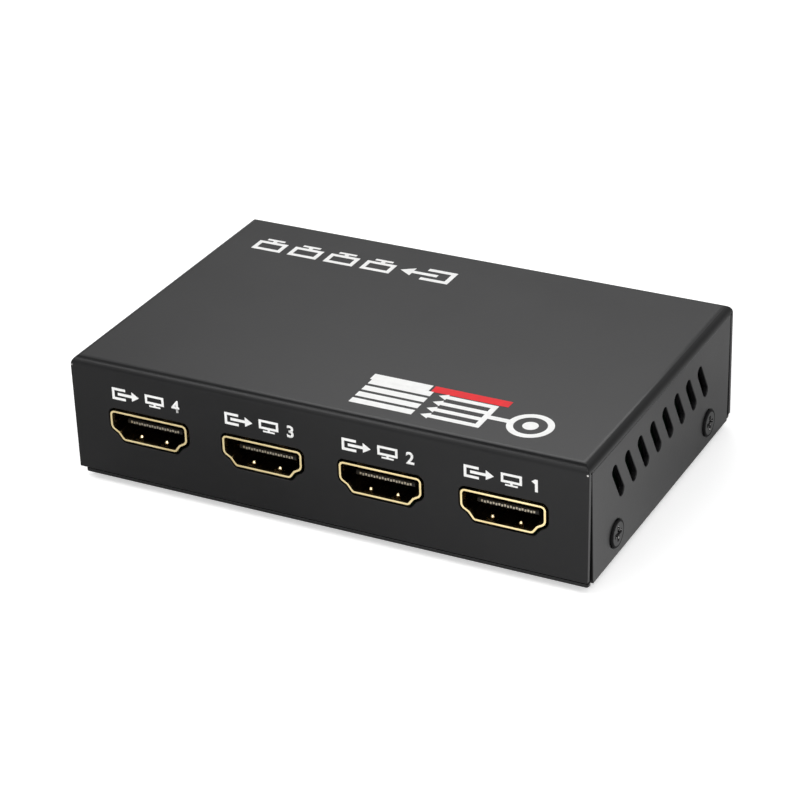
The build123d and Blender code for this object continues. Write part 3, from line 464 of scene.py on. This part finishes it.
# Case screws
# Four raised countersunk steel screws with a cross recess, blackened, so that bare metal glints at the edges
# of the recess. They pass through the cover's sides into the tray.
black_oxide = grained(
    "black oxide", size=0.12 * MM, relief=0.003 * MM, patch=1.2 * MM,
    dark=(0.005, 0.005, 0.0055), light=(0.009, 0.009, 0.0095), smooth=0.3, rough=0.36,
    Specular_IOR_Level=0.2,
)
tree, shader = opened(black_oxide)
screw_middle = (0, 20 * MM, 5.7 * MM)
folded = folded_place(tree)
level_place = put(tree, "ShaderNodeCombineXYZ", {axis: along(tree, folded, axis) for axis in "YZ"})
radius = away(tree, level_place.outputs[0], screw_middle)
# The head's shoulder is dull.
shoulder_start, shoulder_end, shoulder_rough = 1.95 * MM, 2.1 * MM, 0.9
shoulder = ranged(tree, radius, shoulder_start, shoulder_end)
dulled = blended(tree, shoulder, fed(shader, "Roughness"), shoulder_rough)
tree.links.new(dulled, shader.inputs["Roughness"])
# A driver has scuffed the oxide off parts of the recess, which lies below the head's face.
face_x, recess_radius, scuffs_per_mm, scuff_edges = 47.32 * MM, 1.4 * MM, 3.5, (0.62, 0.7)
bare_metal = (0.8, 0.79, 0.77)
sunk = worked(tree, "LESS_THAN", along(tree, folded, "X"), face_x)
within = worked(tree, "LESS_THAN", radius, recess_radius)
noise = {"Vector": object_place(tree), "Scale": scuffs_per_mm / MM, "Detail": 2}
scuffed = ranged(tree, put(tree, "ShaderNodeTexNoise", noise).outputs[0], *scuff_edges)
bare = worked(tree, "MULTIPLY", worked(tree, "MULTIPLY", sunk, within), scuffed)
tree.links.new(mixed(tree, bare, fed(shader, "Base Color"), bare_metal), shader.inputs["Base Color"])
tree.links.new(bare, shader.inputs["Metallic"])
dress(traced("cover_screws", "side_screws", corner=0.07 * MM), black_oxide)


# Printed marks on the front
# White ink, screen-printed on the powder coat a few hundredths of a millimetre thick. Over each socket stand
# an arrow out of a box, a screen and the output's number.
def start_art(name):
    """A mesh with nothing in it yet, in edit mode, for flat marks that are drawn in millimetres."""
    bpy.ops.object.select_all(action="DESELECT")
    bpy.ops.mesh.primitive_plane_add(size=1, location=(0, 0, 0))
    bpy.context.object.name = name
    bpy.ops.object.mode_set(mode="EDIT")
    bpy.ops.mesh.select_all(action="SELECT")
    bpy.ops.mesh.delete(type="VERT")
    return bpy.context.object


def hollow(stroke):
    """Leaves only the edge of the shape that was drawn last."""
    bpy.ops.mesh.inset(thickness=stroke * MM)
    bpy.ops.mesh.delete(type="ONLY_FACE")


def bar(x, y, width, height, stroke=0.0):
    """A rectangle about its middle, filled or only an edge."""
    middle = (x * MM, y * MM, 0)
    bpy.ops.mesh.primitive_plane_add(size=1, location=middle)
    bpy.ops.transform.resize(value=(width * MM, height * MM, 1), center_override=middle)
    if stroke:
        hollow(stroke)


def disc(x, y, radius, stroke=0.0):
    """A round dot, or a ring."""
    middle = (x * MM, y * MM, 0)
    bpy.ops.mesh.primitive_circle_add(vertices=40, radius=radius * MM, fill_type="NGON", location=middle)
    if stroke:
        hollow(stroke)


def wedge(x, y, length, breadth, way=1):
    """A triangle whose root is centred at the place, and which points right, or left where the way is -1."""
    middle = ((x + way * length / 3) * MM, y * MM, 0)
    bpy.ops.mesh.primitive_circle_add(
        vertices=3, radius=1, fill_type="NGON", location=middle, rotation=(0, 0, math.radians(-90 * way))
    )
    # A triangle in a circle of radius 1 is 1.5 long and 1.732 broad.
    bpy.ops.transform.resize(value=(length / 1.5 * MM, breadth / 1.732 * MM, 1), center_override=middle)


def arrow(tail, y, tip, stroke, head, way=1):
    """A level arrow between two ends, with a head of the given breadth."""
    head_length = head * 0.8
    neck = tip - way * head_length
    bar((tail + neck) / 2, y, abs(neck - tail), stroke)
    wedge(neck, y, head_length, head, way)


def one(x, y, height):
    """The numeral 1, with its flag."""
    stem, flag_length, flag_breadth, flag_rise = (share * height for share in (0.22, 0.26, 0.38, 0.31))
    bar(x + stem / 2, y, stem, height)
    wedge(x, y + flag_rise, flag_length, flag_breadth, -1)


def open_box(x, y, width, height, stroke, opening=1):
    """A box without its right side, or without its left side where the opening is -1."""
    bar(x - opening * (width - stroke) / 2, y, stroke, height)
    for side in (-1, 1):
        bar(x + opening * stroke / 2, y + side * (height - stroke) / 2, width - stroke, stroke)


def screen(x, y, width, height, stroke):
    """A flat screen on its stand. The height is that of the whole."""
    frame_height = height * 0.76
    stand_height = height - frame_height
    foot_height, foot_width = stand_height * 0.54, width * 0.6
    stem_height = stand_height - foot_height
    bottom = y - height / 2
    bar(x, y + stand_height / 2, width, frame_height, stroke)
    bar(x, bottom + foot_height + stem_height / 2, stroke, stem_height)
    bar(x, bottom + foot_height / 2, foot_width, foot_height)


def figure(body, x, y, height):
    """A bold numeral as a flat mesh about its middle."""
    # The type's size and the widening of its strokes, as shares of the numeral's height.
    size_share, bold_share = 1.36, 0.035
    bpy.ops.object.text_add(location=(0, 0, 0))
    numeral = bpy.context.object
    numeral.data.body = body
    numeral.data.size = size_share * height * MM
    numeral.data.offset = bold_share * height * MM
    numeral.data.resolution_u = 6
    bpy.ops.object.convert(target="MESH")
    corners = [vertex.co for vertex in numeral.data.vertices]
    for axis, target in ((0, x), (1, y)):
        reach = [corner[axis] for corner in corners]
        numeral.location[axis] = target * MM - (min(reach) + max(reach)) / 2
    bpy.ops.object.transform_apply()
    return numeral


def lay(art, figures, face, ink):
    """Joins the numerals to the flat art, lays all on a face of the case and gives the ink its thickness."""
    select_only(art, *figures)
    if figures:
        bpy.ops.object.join()
    art.matrix_world = face
    bpy.ops.object.transform_apply()
    film = art.modifiers.new("ink film", "SOLIDIFY")
    film.thickness = 0.04 * MM
    film.offset = 1
    bpy.ops.object.modifier_apply(modifier=film.name)
    dress(art, ink)
    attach(art, "root")


white_ink = grained(
    "white ink", size=0.2 * MM, relief=0.002 * MM, patch=1.5 * MM,
    dark=(0.84, 0.84, 0.83), light=(0.9, 0.9, 0.89), smooth=0.45, rough=0.55,
    Specular_IOR_Level=0.2,
)
# The marks are drawn flat. They are turned upright for the walls, and about for the top and the back.
UPRIGHT = Matrix.Rotation(math.radians(90), 4, "X")
ABOUT = Matrix.Rotation(math.radians(180), 4, "Z")
wall_y, mark_z, mark_height = 30.89 * MM, 18, 2.2
pitch, middle_number, number_shift = 21.6, 2.5, 5.5
output_x = {number: (middle_number - number) * pitch for number in (4, 3, 2, 1)}
front_marks = start_art("front_marks")
one(output_x[1] + number_shift, mark_z, mark_height)
for x in output_x.values():
    open_box(x - 5.4, mark_z, width=2.6, height=mark_height, stroke=0.46)
    arrow(x - 5.6, mark_z, tip=x - 1.5, stroke=0.5, head=1.75)
    screen(x + 1.5, mark_z, width=3.6, height=mark_height, stroke=0.42)
bpy.ops.object.mode_set(mode="OBJECT")
front_numbers = [
    figure(str(number), output_x[number] + number_shift, mark_z, mark_height) for number in (4, 3, 2)
]
lay(front_marks, front_numbers, Matrix.Translation((0, -wall_y, 0)) @ UPRIGHT, white_ink)

# Printed marks on the top
# The same white ink, read from the back: a row with a source, an arrow and four screens at the rear, and a
# diagram of one line that splits into four near the front, over a red and a white bar.
red_ink = grained(
    "red ink", size=0.2 * MM, relief=0.002 * MM, patch=1.5 * MM,
    dark=(0.70, 0.018, 0.025), light=(0.80, 0.028, 0.035), smooth=0.45, rough=0.55,
    Specular_IOR_Level=0.12,
)
top_marks = start_art("top_marks")
# The row of a source and four screens.
row_x, row_y, row_height = 20.95, -20.8, 4.6
open_box(row_x - 17.0, row_y, width=5.5, height=row_height, stroke=0.9)
arrow(row_x - 16.8, row_y, tip=row_x - 9.6, stroke=0.9, head=3.0)
for x in (-5.4, 1.9, 9.2, 16.5):
    screen(row_x + x, row_y, width=5.8, height=row_height, stroke=0.8)
# The ring, the line that splits into four, and the bars below.
block_x, fork_y, bars_y = -20.15, 22.45, 17.35
disc(block_x - 13.2, fork_y, radius=3.85, stroke=1.1)
disc(block_x - 13.2, fork_y, radius=1.3)
bar(block_x - 7.7, fork_y, width=3.4, height=1.1)
bar(block_x - 5.5, fork_y, width=1.0, height=7.7)
for step in (3.35, 1.117, -1.117, -3.35):
    arrow(block_x - 5.0, fork_y + step, tip=block_x + 4.4, stroke=1.0, head=1.9)
    bar(block_x + 11.3, fork_y + step, width=11.2, height=1.5)
bar(block_x + 12.0, bars_y, width=10.6, height=1.9)
bpy.ops.object.mode_set(mode="OBJECT")
top_face = Matrix.Translation((0, 0, 23.29 * MM)) @ ABOUT
lay(top_marks, [], top_face, white_ink)
red_bar = start_art("red_bar")
bar(block_x - 0.6, bars_y, width=13.7, height=1.9)
bpy.ops.object.mode_set(mode="OBJECT")
lay(red_bar, [], top_face, red_ink)

# Printed marks on the back
# The same white ink: an arrow into a box over the input, the signs for direct current and for the plug's
# poles by the power socket, and a power sign and the outputs' numbers over the lights.
back_marks = start_art("back_marks")
input_x = 24.0
open_box(input_x + 1.6, mark_z, width=2.6, height=mark_height, stroke=0.46, opening=-1)
arrow(input_x - 2.6, mark_z, tip=input_x + 1.9, stroke=0.5, head=1.75)
# The sign for direct current: a line over three dashes.
socket_x, line_z, dashes_z = -21.2, 17.2, 16.4
bar(socket_x, line_z, width=2.6, height=0.42)
for x in (-0.95, 0.0, 0.95):
    bar(socket_x + x, dashes_z, width=0.62, height=0.42)
# The plug's poles: a minus and a plus in rings, joined to the signs of the sleeve and the pin.
poles_z, pole = 12.3, 2.7
for x in (-pole, pole):
    disc(socket_x + x, poles_z, radius=0.85, stroke=0.28)
    bar(socket_x + x, poles_z, width=0.8, height=0.25)
bar(socket_x + pole, poles_z, width=0.25, height=0.8)
disc(socket_x, poles_z, radius=1.0, stroke=0.28)
disc(socket_x, poles_z, radius=0.42)
for x in (-1.425, 1.425):
    bar(socket_x + x, poles_z, width=0.85, height=0.28)
# The power sign, and a number for each output's light.
lights_x, lights_pitch, lights_z, figure_height = -14.45, 5, 15.9, 1.7
disc(lights_x, lights_z, radius=0.8, stroke=0.26)
bar(lights_x, lights_z + 0.85, width=0.3, height=1.1)
one(lights_x + lights_pitch, lights_z, figure_height)
bpy.ops.object.mode_set(mode="OBJECT")
back_numbers = [
    figure(str(number), lights_x + lights_pitch * number, lights_z, figure_height) for number in (2, 3, 4)
]
lay(back_marks, back_numbers, Matrix.Translation((0, wall_y, 0)) @ ABOUT @ UPRIGHT, white_ink)


# Studio
# A pale seamless floor and surround, and soft lamps. The camera stands where the photograph was taken
# from, with the photograph's long lens.
def area_lamp(name, position, target, size, power):
    """A square soft lamp, turned towards a point."""
    bpy.ops.object.light_add(type="AREA", location=position)
    lamp = bpy.context.object
    lamp.name = name
    lamp.data.shape = "SQUARE"
    lamp.data.size = size
    lamp.data.energy = power
    lamp.rotation_euler = (Vector(target) - Vector(position)).to_track_quat("-Z", "Y").to_euler()


def kinds_of_ray(tree):
    """Masks of the rays that gloss sends, and of those that the camera sends, through clear things too."""
    kinds = put(tree, "ShaderNodeLightPath").outputs
    return kinds["Is Glossy Ray"], worked(tree, "ADD", kinds["Is Camera Ray"], kinds["Is Transmission Ray"])


world = bpy.data.worlds.new("pale surround")
bpy.context.scene.world = world
world.use_nodes = True
tree = world.node_tree
surround = tree.nodes["Background"]
surround.inputs["Color"].default_value = (1, 1, 1, 1)
# Gloss shows the surround too, as a soft box that is dim near the floor and overhead.
upward = along(tree, put(tree, "ShaderNodeTexCoord").outputs["Generated"], "Z")
over_floor = ranged(tree, upward, low=0.38, high=0.52, first=0.45, last=1.0)
overhead = ranged(tree, upward, low=0.6, high=0.92, first=1.0, last=0.3)
glossy, seen = kinds_of_ray(tree)
plain = ranged(tree, seen, low=0, high=1, first=0.42, last=1.0)
strength = blended(tree, glossy, plain, worked(tree, "MULTIPLY", over_floor, overhead))
tree.links.new(strength, surround.inputs["Strength"])

bpy.ops.mesh.primitive_plane_add(size=6, location=(0, 0, 0))
floor = bpy.context.object
floor.name = "floor"
floor_paper = bpy.data.materials.new("floor paper")
floor_paper.use_nodes = True
tree = floor_paper.node_tree
tree.nodes.clear()
matt = put(tree, "ShaderNodeBsdfDiffuse", {"Color": (0.8, 0.8, 0.8, 1)})
# The floor glows evenly for the camera, and for gloss more the farther right and forward it lies.
glossy, seen = kinds_of_ray(tree)
spot, seen_glow = object_place(tree), 0.5
rightward = worked(tree, "SUBTRACT", along(tree, spot, "X"), along(tree, spot, "Y"))
mirrored_glow = ranged(tree, rightward, low=0.02, high=0.1, last=0.8)
mirrored = worked(tree, "MULTIPLY", glossy, mirrored_glow)
direct = worked(tree, "MULTIPLY", seen, seen_glow)
glow = put(tree, "ShaderNodeEmission", {"Strength": worked(tree, "ADD", mirrored, direct)})
lit = put(tree, "ShaderNodeAddShader", {0: matt.outputs[0], 1: glow.outputs[0]})
put(tree, "ShaderNodeOutputMaterial", {"Surface": lit.outputs[0]})
dress(floor, floor_paper)

case_middle = (0, 0, 0.01)
area_lamp("right lamp", (0.24, -0.2, 0.32), target=(0.02, -0.01, 0.01), size=0.2, power=0.48)
area_lamp("left lamp", (-0.17, -0.2, 0.32), target=case_middle, size=0.14, power=0.35)
area_lamp("back lamp", (-0.24, 0.6, 0.66), target=case_middle, size=0.4, power=1.8)
area_lamp("front lamp", (0.0, -0.7, 0.45), target=case_middle, size=0.8, power=2.4)

bpy.ops.object.camera_add(location=(0.18807, -0.35899, 0.22501))
camera = bpy.context.object
camera.rotation_euler = [math.radians(angle) for angle in (62.0284, 1.7805, 26.8832)]
camera.data.sensor_width = 36
camera.data.lens = 121.064
camera.data.clip_start = 0.01
bpy.context.scene.camera = camera
bpy.context.scene.view_settings.view_transform = "Standard"
